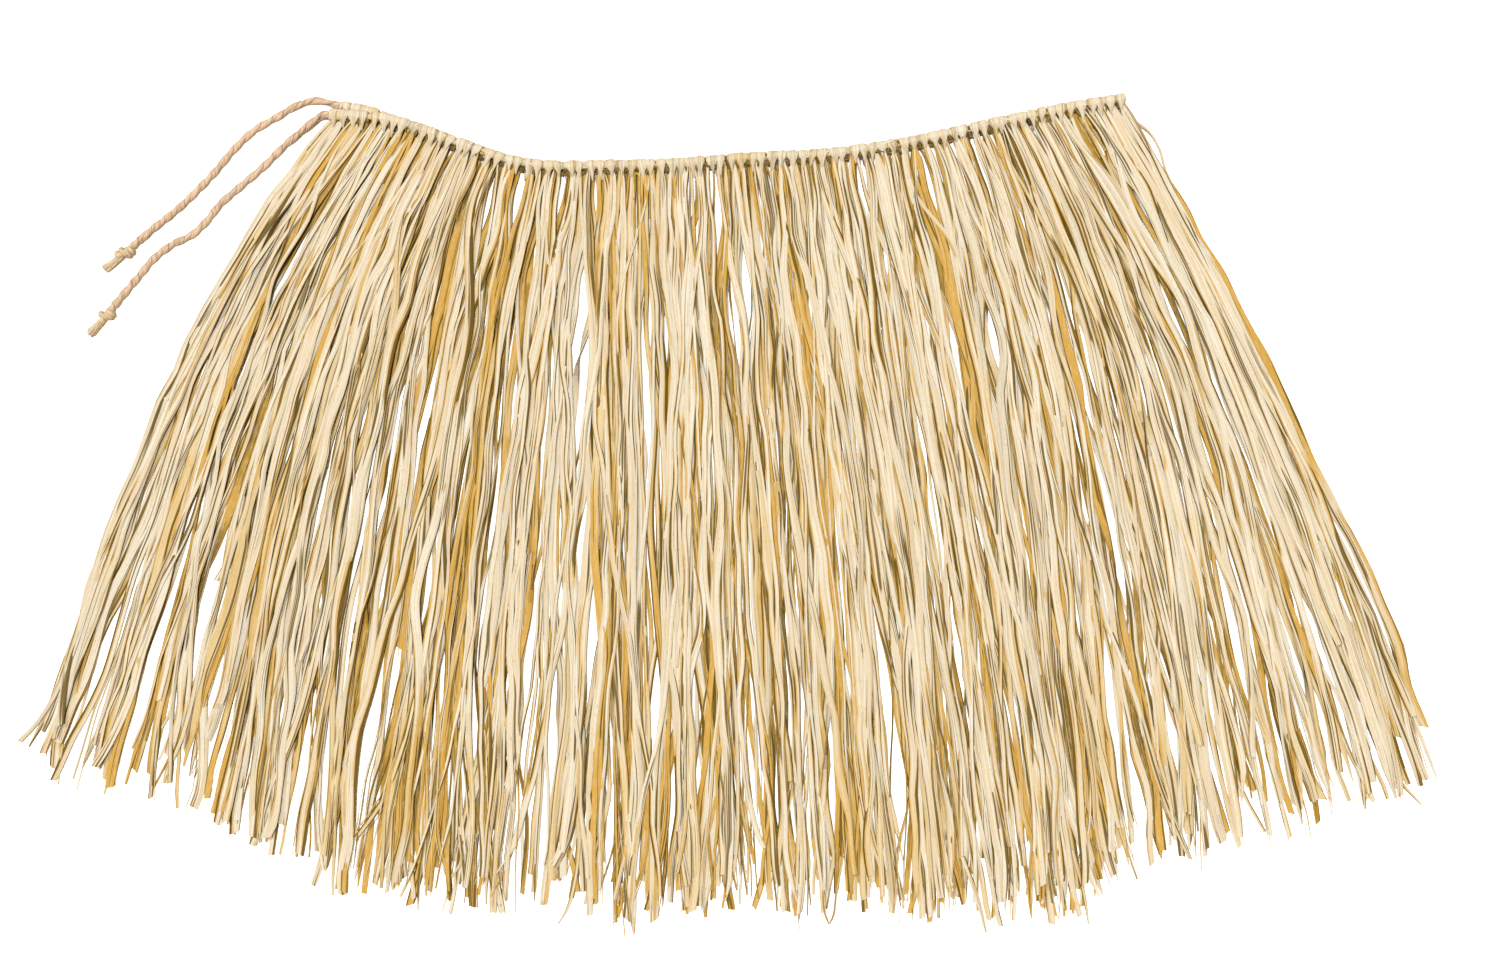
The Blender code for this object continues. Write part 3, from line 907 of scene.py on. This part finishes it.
def hitch_wraps(fan, draw, middle, pitch, height):
    """The hitches' flat wraps: round the cord, then a short way down over the strands."""
    angle = np.radians(np.linspace(-70, 100, 8))
    snug = (2.7 + draw.even(0, 0.4)) * MM
    reach = draw.even(8.5, 13.0) * MM
    over = [PAST_CORD + part * (reach - PAST_CORD) for part in (0.0, 0.33, 0.66, 1.0)]
    fall = [snug - drop * MM for drop in (0.4, 1.25, 2.3, 3.7)]
    depth = np.concatenate((WAIST_CORD_D / 2 - snug * np.cos(angle), *over), axis=1)
    rise = np.concatenate((snug * np.sin(angle), *fall), axis=1)
    u = np.linspace(-1, 1, depth.shape[1])
    share = middle + pitch * (draw.about(0, 0.06) + draw.about(0, 0.12) * u)
    line, _, down = band(fan, share, depth, np.maximum(height + rise, 1.35 * MM))
    narrowing = 1 - 0.56 * eased((depth / MM - 2.6) / 3.0) - 0.28 * eased((depth - 5.5 * MM) / (reach - 5.5 * MM))
    narrowing = narrowing * draw.even(0.5, 0.95) ** (1 - eased(np.arange(len(u)) / 5))
    return strands(
        line,
        draw.even(0.42, 0.62) * (pitch * fan.waist_length) * narrowing,
        0.3 * MM,
        up=swung(np.append(angle, np.radians((95.0, 98.0, 100.0, 100.0))), -down, UP),
        fold=draw.even(0.1, 0.4) * MM,
        square=1.0,
        crease=draw.about(0, 0.25),
        roll=draw.about(0, 0.07),
        tone=draw.pick((-0.15, 0.0, 0.15, 0.35), (0.42, 0.34, 0.18, 0.06)),
        start=draw.even(0, 40),
    )


def hitch_strands_and_shadow_specks(fan, rng, middle, pitch, height):
    """Thin crossing strands, and dark specks of painted shadow between and inside the hitches."""
    count = len(middle)
    u = np.linspace(-1, 1, 9)
    for few, long, thin, lean, tones in (
        (round(0.3 * count), (1.0, 2.2), (0.35, 0.7), 0.45, (-0.1, 0.25)),
        # These two rows are dark specks of painted shadow: between the hitches, then inside them
        (count - 1, (0.9, 2.3), (0.4, 0.95), 0.10, (1.3, 2.0)),
        (round(0.7 * count), (0.6, 1.3), (0.25, 0.5), 0.14, (1.5, 2.4)),
    ):
        draw = Draws(rng, few)
        shadow_speck, between = tones[0] > 1, few == count - 1
        at = (middle[1:] + middle[:-1]) / 2 if between else rng.choice(middle, few, replace=False)
        at = at[:, None] + draw.about(0, 0.07 if shadow_speck else 0.3) * pitch
        half_length = draw.even(*long)
        top = draw.about(4.2, 0.35) if shadow_speck else draw.about(2.2, 0.5)
        depth = (top + half_length * (1 + u if shadow_speck else u)) * MM
        rise = (2.35 if shadow_speck else 3.35) - 0.35 * (1 + u) - 0.3 * np.abs(u) ** 3
        share = at + lean * draw.about(0, 1) * pitch * u
        line, _, _ = band(fan, share, depth, height + rise * MM)
        taper = 1 - 0.4 * u**2
        if shadow_speck:
            taper = np.clip(0.35 + 1.3 * (1 + u), 0, 1) * np.clip(0.12 + 0.95 * (1 - u), 0, 1)
        yield strands(line, draw.even(*thin) * MM * taper, 0.2 * MM, square=1.0, tone=draw.even(*tones))


def make_hitches(sizes, colours):
    """A flat wrap over the cord for each hitch, lapping its neighbours, and the dark specks and strip of painted
    shadow below them.
    """
    finish = raffia_finish("hitch_raffia", colours, -0.06, 0.35)
    rng = np.random.default_rng(sizes.seed + 2)
    for half, end, height in (("front", FRONT_END, HIGH_CORD_Z), ("back", BACK_END, LOW_CORD_Z)):
        fan = Fan(end)
        middle, pitch = hitch_places(sizes, half)
        batches = [
            hitch_wraps(fan, Draws(rng, sizes.hitches), middle[:, None], pitch, height),
            *hitch_strands_and_shadow_specks(fan, rng, middle, pitch, height),
        ]
        grow(f"hitch_bars_{half}", batches, 8, finish, "waist_cord")
    # Painted shadow: a near-black strip under the hitches' roots, for the shade in the hollows between them
    share = np.linspace(0.002, 1.003, 420)
    line, _, _ = band(fan, share, 5.7 * MM, 4.95 * MM)
    uneven = Draws(rng, 1).ripple(share, (37.0, 61.0, 83.0))
    half_width = (1.75 + 0.5 * np.clip(uneven, -1.2, 1.6)) * MM
    shadow_strip = strands(line[None], half_width, 0.2 * MM, tone=2.1 + 0.35 * uneven[:, ::-1])
    grow("heading_shadow_strip", [shadow_strip], 8, finish, "waist_cord")


# Grass


def gathered(seed, share, down):
    """How far the strands lean together into locks. Both halves lean alike, so that the floor shows between locks."""
    rng = np.random.default_rng(seed)
    total = 0.0
    for pace, climb in ((9.0, 0.35), (17.0, 0.6), (29.0, 0.9), (43.0, 1.3)):
        phase, way = rng.uniform(0, math.tau), rng.choice((-1, 1))
        total = total + np.sin(math.tau * (pace * share + way * climb * down) + phase) * (12.0 / pace) ** 0.35
    return total


def ribbon_kinds(draw, sizes, group, loose, share, kinds):
    """Each ribbon's tone and half its width, and whether it is one of the thin dark ribbons that are painted shadow
    between the others, partly dark fibres.
    """
    group_tone = draw.rng.normal(0, 0.06, sizes.hitches)
    kind = draw.pick(3, kinds)
    low, high = np.array((-0.12, 0.5, 0.85)), np.array((0.2, 0.75, 1.1))
    tone = draw.even(low[kind], high[kind]) + group_tone[group]
    # Thin dark ribbons: painted shadow lines between the ribbons, partly dark brown fibres
    shadow_splinter = loose & draw.chance(0.45)
    tone = np.where(shadow_splinter, draw.even(1.0, 1.4), np.clip(tone, -0.15, 1.1))
    tone = np.where((share < 0.03) | (share > 0.965), np.minimum(tone, 0.25), tone)
    size = draw.pick(3, (0.48, 0.24, 0.28))
    narrow, broad = np.array((0.86, 0.5, 1.2)), np.array((1.15, 0.8, 1.75))
    wide = np.where(loose, draw.even(0.3, 0.75), draw.even(narrow[size], broad[size]))
    wide = np.where(shadow_splinter, draw.even(0.22, 0.42), wide)
    return tone, wide * (0.96 + 0.3 * (2 * share - 1) ** 2) * sizes.ribbon_width / 2, shadow_splinter


def ribbon_lines(fan, draw, sizes, group, loose, share, pull, pitch):
    """The ribbons' lines down the fan, cut where the hem ends them."""
    down = np.linspace(0, 1.08, 150)
    own = draw.ripple(down, (0.35, 0.9, 1.9))
    waves = draw.ripple(down, (2.1, 3.6, 6.0)) * eased(down / 0.06)
    locks = gathered(sizes.seed + 5, share, down)
    drift = np.where(loose, draw.about(0, 2.2), draw.about(0, 3.0) * draw.chance(0.10))
    sway = 0.34 * locks + 0.6 * own + drift * down**0.4
    border = np.minimum(1.0, 0.45 + 5.0 * np.minimum(share, 1 - share))
    across = fan.across_at(share) + pitch * down**0.7 * sway * border
    aside = np.where(draw.chance(0.4), draw.about(0, 1.35), draw.about(0, 0.55))
    across = across + pitch * aside * eased(down / draw.even(0.18, 0.5)) * border
    across = across + pitch * waves * (0.1 + 0.07 * np.exp(-down / 0.2))
    across = across - pitch * pull * np.exp(-((STRAND_LENGTH * down / (6.5 * MM)) ** 2))
    across = PAST_FOLD - np.abs(PAST_FOLD - np.abs(across - FIRST_PLACE)) + FIRST_PLACE
    lines = part_strands(fan.points(across, down))

    hem = np.array(HEM) * MM
    beyond = (lines[..., 1] < np.interp(lines[..., 0], hem[:, 0], hem[:, 1])) & (down > 0.5)
    last = np.where(beyond.any(axis=1), beyond.argmax(axis=1), len(down) - 1)[:, None]
    early = draw.chance(0.07)
    uneven = 1 + 0.8 * eased((np.abs(2 * share - 1) - 0.55) / 0.3)
    short = np.abs(draw.about(0, sizes.raggedness)) * uneven + early * draw.even(0.05, 0.35)
    short = short + np.abs(np.random.default_rng(sizes.seed + 9).normal(0, 0.014, sizes.hitches))[group]
    ends = down[last] * (1 - short)
    return np.stack([read_along(STATIONS * end, down, line) for end, line in zip(ends, lines)])


def kinks(seed, count):
    """Small bends every so often along each ribbon."""
    draw = Draws(np.random.default_rng(seed), count)
    knots = draw.rng.normal(0, 0.6, (count, KINKS + 2)) * MM
    places = STATIONS * KINKS + draw.even(0, 1)
    return np.stack([np.interp(place, np.arange(KINKS + 2), bends) for place, bends in zip(places, knots)])


def lay_ribbons(fan, pile, rng, sizes, half, cord_z, kinds, shade):
    """Every ribbon of one half laid on the pile, the darkest first, and each one's share along the waist."""
    hitches = sizes.hitches
    places, pitch = hitch_places(sizes, half)
    count = 3 * hitches + round(3 * hitches * sizes.extra_share)
    draw = Draws(rng, count)
    loose = np.arange(count)[:, None] >= 3 * hitches
    group = np.repeat(np.arange(hitches), 3)
    group = np.append(group, rng.integers(1, hitches - 1, count - len(group)))[:, None]
    sign = np.where(loose, 0.0, np.resize((-1.0, 0.0, 1.0), (count, 1)))
    pull = sign * rng.uniform(0.10, 0.19, hitches)[group]
    share = places[group] + pitch * (0.31 * sign + draw.about(0, 0.04))
    tone, wide, shadow_splinter = ribbon_kinds(draw, sizes, group, loose, share, kinds)
    flat = ribbon_lines(fan, draw, sizes, group, loose, share, pull, pitch)
    at = lengths_along(flat)
    left = at[:, -1:] - at
    near_tip = np.clip(1 - left / TIP_RUN, 0, 1) ** 2
    below_cord = eased(at / ROOT_RUN)
    curl = np.where(draw.chance(0.22), draw.about(0, 5.0), draw.about(0, 1.0)) * MM
    bend = curl * near_tip + kinks(sizes.seed + 11, count) * eased(at / (40 * MM))
    flat = flat + right_of(unit(np.gradient(flat, axis=1))) * bend[..., None]

    # Widths, folds, rolls and thicknesses
    waver = 1 + 0.13 * draw.ripple(STATIONS, (3.0, 8.0))
    pointed = draw.chance(0.22)
    reach = draw.even(8, 30) * MM
    taper = np.where(pointed, 0.2 + 0.8 * eased(left / reach), 1 - 0.12 * (left == 0))
    half_width = wide * (0.55 + 0.45 * below_cord) * np.clip(waver, 0.6, 1.4) * taper
    most_wide = np.where(loose, 0.4, 0.68) + 0.6 * eased((at / MM - 2.0) / 8.0) + 0.05 * at / MM
    half_width = np.clip(half_width, 0.22 * MM, most_wide * MM)
    fold_share = draw.even(0.08, 0.34) * np.where(draw.chance(0.7), 1, -1)
    fold = half_width * fold_share * (0.8 + 0.35 * draw.ripple(STATIONS, (1.5, 4.0)))
    creased = draw.chance(0.5)
    gutter = np.where(creased, draw.even(-1.5, -0.9), draw.even(-0.3, 0.2)) * fold
    roll = draw.about(0, 0.12) + 0.12 * draw.ripple(STATIONS, (1.2, 3.5))
    turned = draw.chance(0.10)
    turning = eased((STATIONS - draw.even(0.2, 0.85)) / draw.even(0.16, 0.3) + 0.5)
    roll = roll + np.where(turned, math.pi * turning * draw.pick((-1, 1)), 0)
    roll = roll * eased(at / (18 * MM))
    half_thick = np.where(loose, 0.6, draw.even(0.6, 1.1)) * sizes.ribbon_thickness / 2
    half_thick = half_thick * (0.75 + 0.25 * eased(at / (30 * MM))) * (1 - 0.35 * near_tip)

    # Each ribbon rests on those laid before it
    below, above = section_reach(half_width, half_thick, fold, gutter, roll)
    loft = np.abs(draw.ripple(STATIONS, (1.1, 2.6))) * 0.4 * MM * below_cord
    tip_lift = np.where(draw.chance(0.25), draw.even(1, 4), 0.0) * MM
    level = np.zeros(at.shape)
    # The darkest ribbons go under the rest, so that their colour lies where the pile's shade falls: partly painted
    # shade, with the ribbons' own colours
    for i in np.argsort(-(np.where(shadow_splinter, 0.25, tone) + draw.about(0, 0.3)).ravel()):
        level[i] = pile.rest(flat[i], half_width[i], 0.85 * (below[i] + above[i]), cord_z + 0.6 * MM, loft[i])
    height = level + below + 0.1 * MM + tip_lift * near_tip
    fan_line = np.concatenate((flat, height[..., None]), axis=-1)

    # The wrap round the cord, from under it over its top
    angle = np.radians((-75.0, -40.0, -5.0, 30.0, 62.0, 92.0, 118.0))
    snug = 2.5 * MM + draw.even(0, 0.15) * MM
    depth = WAIST_CORD_D / 2 - snug * np.cos(angle)
    over_cord, _, down = band(fan, share - pitch * pull, depth, np.maximum(cord_z + snug * np.sin(angle), 0.6 * MM))
    line = np.concatenate((over_cord, fan_line), axis=1)
    for k, weight in enumerate((0.55, 0.3, 0.12)):
        target = fan_line[:, k, 2]
        leaving = cord_z + snug[:, 0] * math.sin(angle[-1]) - (1.0 + 0.9 * k) * MM
        line[:, len(angle) + k, 2] = target + weight * (np.maximum(leaving, target) - target)
    up = np.concatenate((swung(angle, -down, UP), np.broadcast_to(UP, fan_line.shape)), axis=1)

    def led(values, first):
        """The values with the wrap's own put before them."""
        first = np.broadcast_to(first, (count, len(angle)))
        return np.concatenate((first, np.broadcast_to(values, at.shape)), axis=1)

    cut = np.zeros(line.shape[:2])
    cut[:, -1:] = np.where(pointed, 0.0, draw.even(-0.7, 0.7)) * half_width[:, -1:]
    wrap_width = np.where(loose, 0.5 * MM, np.minimum(half_width[:, :1] * 1.1, 1.05 * MM))
    tones = tone + 0.12 * draw.ripple(STATIONS, (0.7, 2.0)) + 0.04 * eased((STATIONS - 0.6) / 0.4)
    # Painted shade: the back half's ribbons darken just below the cord, under the front half
    tones = tones + shade * np.exp(-((at / SHADE_RUN) ** 2))
    for x, y, radius, more in PATCHES:
        away = np.linalg.norm(flat - np.array((x, y)) * MM, axis=-1)
        tones = tones + more * np.exp(-((away / (radius * MM)) ** 2))
    made = strands(
        line,
        led(half_width, wrap_width),
        led(half_thick, 0.32 * MM),
        up=up,
        roll=led(roll, 0.0),
        fold=led(fold, 0.15 * MM),
        gutter=led(gutter, 0.0),
        square=1.0,
        crease=draw.even(-0.45, 0.45),
        tone=led(tones, np.clip(tone * 0.55, 0, 0.5)),
        start=draw.even(0, 60),
        cut=cut,
    )
    return made, share[:, 0]


def hang_loops(fan, pile, rng, cord_z, count):
    """Hairpin loops of golden raffia that show just below the hitches."""
    draw = Draws(rng, count)
    share = np.sort(draw.even(0.03, 0.97), axis=0)
    radius = draw.even(1.2, 1.9) * MM
    top = draw.even(6.0, 10.0) * MM
    legs = draw.even(14, 34) * MM
    s = np.linspace(0, 1, 12)
    bend = np.linspace(math.pi, 0, 9)[1:-1]
    beside = np.concatenate((-radius * (1 - 0.3 * (1 - s)), radius * np.cos(bend), radius * (1 - 0.3 * s)), axis=1)
    depth = np.concatenate((top + legs * (1 - s), top - radius * np.sin(bend), top + legs * s), axis=1)
    across = fan.across_at(share) + beside / fan.waist_length
    lines = fan.points(across, (depth - HEADING_DEPTH) / STRAND_LENGTH)
    half_width = np.broadcast_to(draw.even(0.75, 1.15) * MM, depth.shape)
    thickness, loft = np.full(depth.shape[1], 0.7 * MM), np.zeros(depth.shape[1])
    level = np.stack(
        [pile.rest(line, wide, thickness, cord_z - 1.0 * MM, loft) for line, wide in zip(lines, half_width)]
    )
    line = np.concatenate((lines, (level + 0.2 * MM)[..., None]), axis=-1)
    fade = eased((depth - top) / legs / 0.5)
    line[..., 2] -= 1.6 * MM * eased(((depth - top) / legs - 0.4) / 0.6)
    return strands(
        line,
        half_width * (1 - 0.35 * fade),
        0.3 * MM,
        fold=0.3 * MM,
        square=1.0,
        tone=draw.even(0.7, 1.0),
        start=draw.even(0, 60),
    )


def part_strands(lines):
    """The lines pushed aside where the strands part."""
    pushed = lines.copy()
    run = unit(np.gradient(lines, axis=1))
    side = -right_of(run)
    rows = np.arange(len(lines))
    for x, y, half_length, width in PARTINGS:
        away = lines - np.array((x, y)) * MM
        ahead = (away * run).sum(axis=-1)
        nearest = np.linalg.norm(away, axis=-1).argmin(axis=1)
        beside = (away[rows, nearest] * side[rows, nearest]).sum(axis=-1)
        fade = (1 + np.cos(math.pi * np.clip(ahead / (3.2 * half_length * MM), -1, 1))) / 2
        most = (width / 2 + (2.3 if y > 60 else 0.9)) * MM
        push = most * np.exp(-((beside / (11 * MM)) ** 2)) * np.tanh(beside / (0.5 * MM))
        pushed += side * (fade * push[:, None])[..., None]
    return pushed


def split_fibres(rng, batch, share_split):
    """Thin fibres that have come away from the ends of some ribbons."""
    centre = batch["centre"]
    count, columns = centre.shape[:2]
    parents = np.repeat(np.flatnonzero(rng.uniform(0, 1, count) < share_split), 2)[:, None]
    draw = Draws(rng, len(parents))
    begin = draw.even(0.62, 0.9)
    s = np.linspace(0, 1, 16)
    index = (begin + (1 - begin) * s) * (columns - 1)
    low = np.clip(index.astype(int), 0, columns - 2)
    part = (index - low)[..., None]
    line = centre[parents, low] * (1 - part) + centre[parents, low + 1] * part
    side = unit(batch["side"][parents, low] * (1, 1, 0))
    reach = batch["half_width"][parents, low] * draw.pick((-1, 1)) * draw.even(0.5, 1.1)
    stray = draw.about(0, 2.8) * MM * s**2
    run = unit(np.gradient(line, axis=1))
    line = line + side * (reach + stray)[..., None] + run * (draw.even(-6, 9) * MM * s**2)[..., None]
    line[..., 2] = np.maximum(line[..., 2] + draw.even(-0.3, 1.6) * MM * s, 0.4 * MM)
    return strands(
        line,
        draw.even(0.22, 0.6) * MM * (1 - 0.5 * s**3),
        0.16 * MM,
        roll=draw.about(0, 0.5),
        tone=draw.even(0.05, 0.7),
        start=draw.even(0, 60),
    )


def make_grass(sizes, colours):
    """Both halves' ribbons, the back half's under the front's, with the fibres and strands that stray from them."""
    rng = np.random.default_rng(sizes.seed)
    pile = Pile(sizes.most_height)
    finish = raffia_finish("grass_raffia", colours, -0.04)
    laid, loose = [], []
    for half, end, height, slot, kinds, shade in (
        # Painted shade: the back half, under the front, has more gold and olive ribbons and is darker below the cord
        ("back", BACK_END, LOW_CORD_Z, "raffia_under", (0.54, 0.27, 0.19), 0.6),
        ("front", FRONT_END, HIGH_CORD_Z, "raffia", (0.78, 0.16, 0.06), 0.0),
    ):
        fan = Fan(end)
        batch, share = lay_ribbons(fan, pile, rng, sizes, half, height, kinds, shade)
        loose.append(split_fibres(rng, batch, 0.22))
        laid.append((half, slot, batch, share))
    # The loops hang from the front half, which was laid last
    loose.append(hang_loops(fan, pile, rng, height, 9))
    for half, slot, batch, share in laid:
        # Painted shade: the deeper a ribbon lies below its neighbours' tops, the riper and darker its tone
        deep = pile.buried(batch["centre"]) / MM
        batch["tone"] = batch["tone"] + 0.6 * eased((deep - 1.0) / 5.0)
        for part, low, high in (("left", -1.0, 0.34), ("middle", 0.34, 0.67), ("right", 0.67, 2.0)):
            chosen = (share >= low) & (share < high)
            strip = {field: values[chosen] for field, values in batch.items()}
            piece = grow(f"grass_{half}_{part}", [strip], 8, finish, slot)
            if part == "left":
                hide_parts(f"fringe_{half}")
    for half_width, tone, *route in STRAYS:
        line = even_route(route, 3 * MM)
        wide = half_width * MM * np.clip(0.4 + np.arange(len(line))[None, ::-1] / 8, 0, 1)
        loose.append(strands(line[None], wide, 0.25 * MM, fold=0.25 * MM, tone=tone, start=len(loose)))
    grow("split_fibres", loose, 6, finish, "raffia")


# Operators


class SKIRT_OT_stage(bpy.types.Operator):
    """Sets up the floor, the lights and the camera"""

    bl_idname = "skirt.stage"
    bl_label = "Stage"

    def execute(self, context):
        make_stage(context.scene.skirt_colours)
        return {"FINISHED"}


class SKIRT_OT_ties(bpy.types.Operator):
    """Twists the two ties and knots their ends"""

    bl_idname = "skirt.ties"
    bl_label = "Ties"

    def execute(self, context):
        make_ties(context.scene.skirt_sizes, context.scene.skirt_colours)
        return {"FINISHED"}


class SKIRT_OT_waist_cord(bpy.types.Operator):
    """Lays the cord along both halves of the waist and round the fold"""

    bl_idname = "skirt.waist_cord"
    bl_label = "Waist cord"

    def execute(self, context):
        make_waist_cord(context.scene.skirt_colours)
        return {"FINISHED"}


class SKIRT_OT_hitches(bpy.types.Operator):
    """Wraps the hitches over the cord, with the specks and strip of painted shadow below them"""

    bl_idname = "skirt.hitches"
    bl_label = "Hitches"

    def execute(self, context):
        make_hitches(context.scene.skirt_sizes, context.scene.skirt_colours)
        return {"FINISHED"}


class SKIRT_OT_grass(bpy.types.Operator):
    """Hangs the raffia ribbons of both halves and their split fibres"""

    bl_idname = "skirt.grass"
    bl_label = "Grass"

    def execute(self, context):
        make_grass(context.scene.skirt_sizes, context.scene.skirt_colours)
        return {"FINISHED"}


OPERATORS = (SKIRT_OT_stage, SKIRT_OT_ties, SKIRT_OT_waist_cord, SKIRT_OT_hitches, SKIRT_OT_grass)


class SKIRT_PT_panel(bpy.types.Panel):
    """Sizes, colours and pieces of the grass skirt"""

    bl_idname = "SKIRT_PT_panel"
    bl_label = "Grass Skirt"
    bl_space_type = "VIEW_3D"
    bl_region_type = "UI"
    bl_category = "Grass skirt"

    def draw(self, context):
        for settings in (context.scene.skirt_sizes, context.scene.skirt_colours):
            box = self.layout.box()
            for name in settings.bl_rna.properties.keys():
                if name not in {"rna_type", "name"}:
                    box.prop(settings, name)
        for made in OPERATORS:
            self.layout.operator(made.bl_idname)


CLASSES = (SkirtSizes, SkirtColours, *OPERATORS, SKIRT_PT_panel)


def register():
    for made in CLASSES:
        bpy.utils.register_class(made)
    bpy.types.Scene.skirt_sizes = PointerProperty(type=SkirtSizes)
    bpy.types.Scene.skirt_colours = PointerProperty(type=SkirtColours)


def unregister():
    del bpy.types.Scene.skirt_colours
    del bpy.types.Scene.skirt_sizes
    for made in reversed(CLASSES):
        bpy.utils.unregister_class(made)


def main():
    register()
    bpy.ops.skirt.stage()
    bpy.ops.skirt.ties()
    bpy.ops.skirt.waist_cord()
    bpy.ops.skirt.hitches()
    bpy.ops.skirt.grass()


if __name__ == "__main__":
    main()
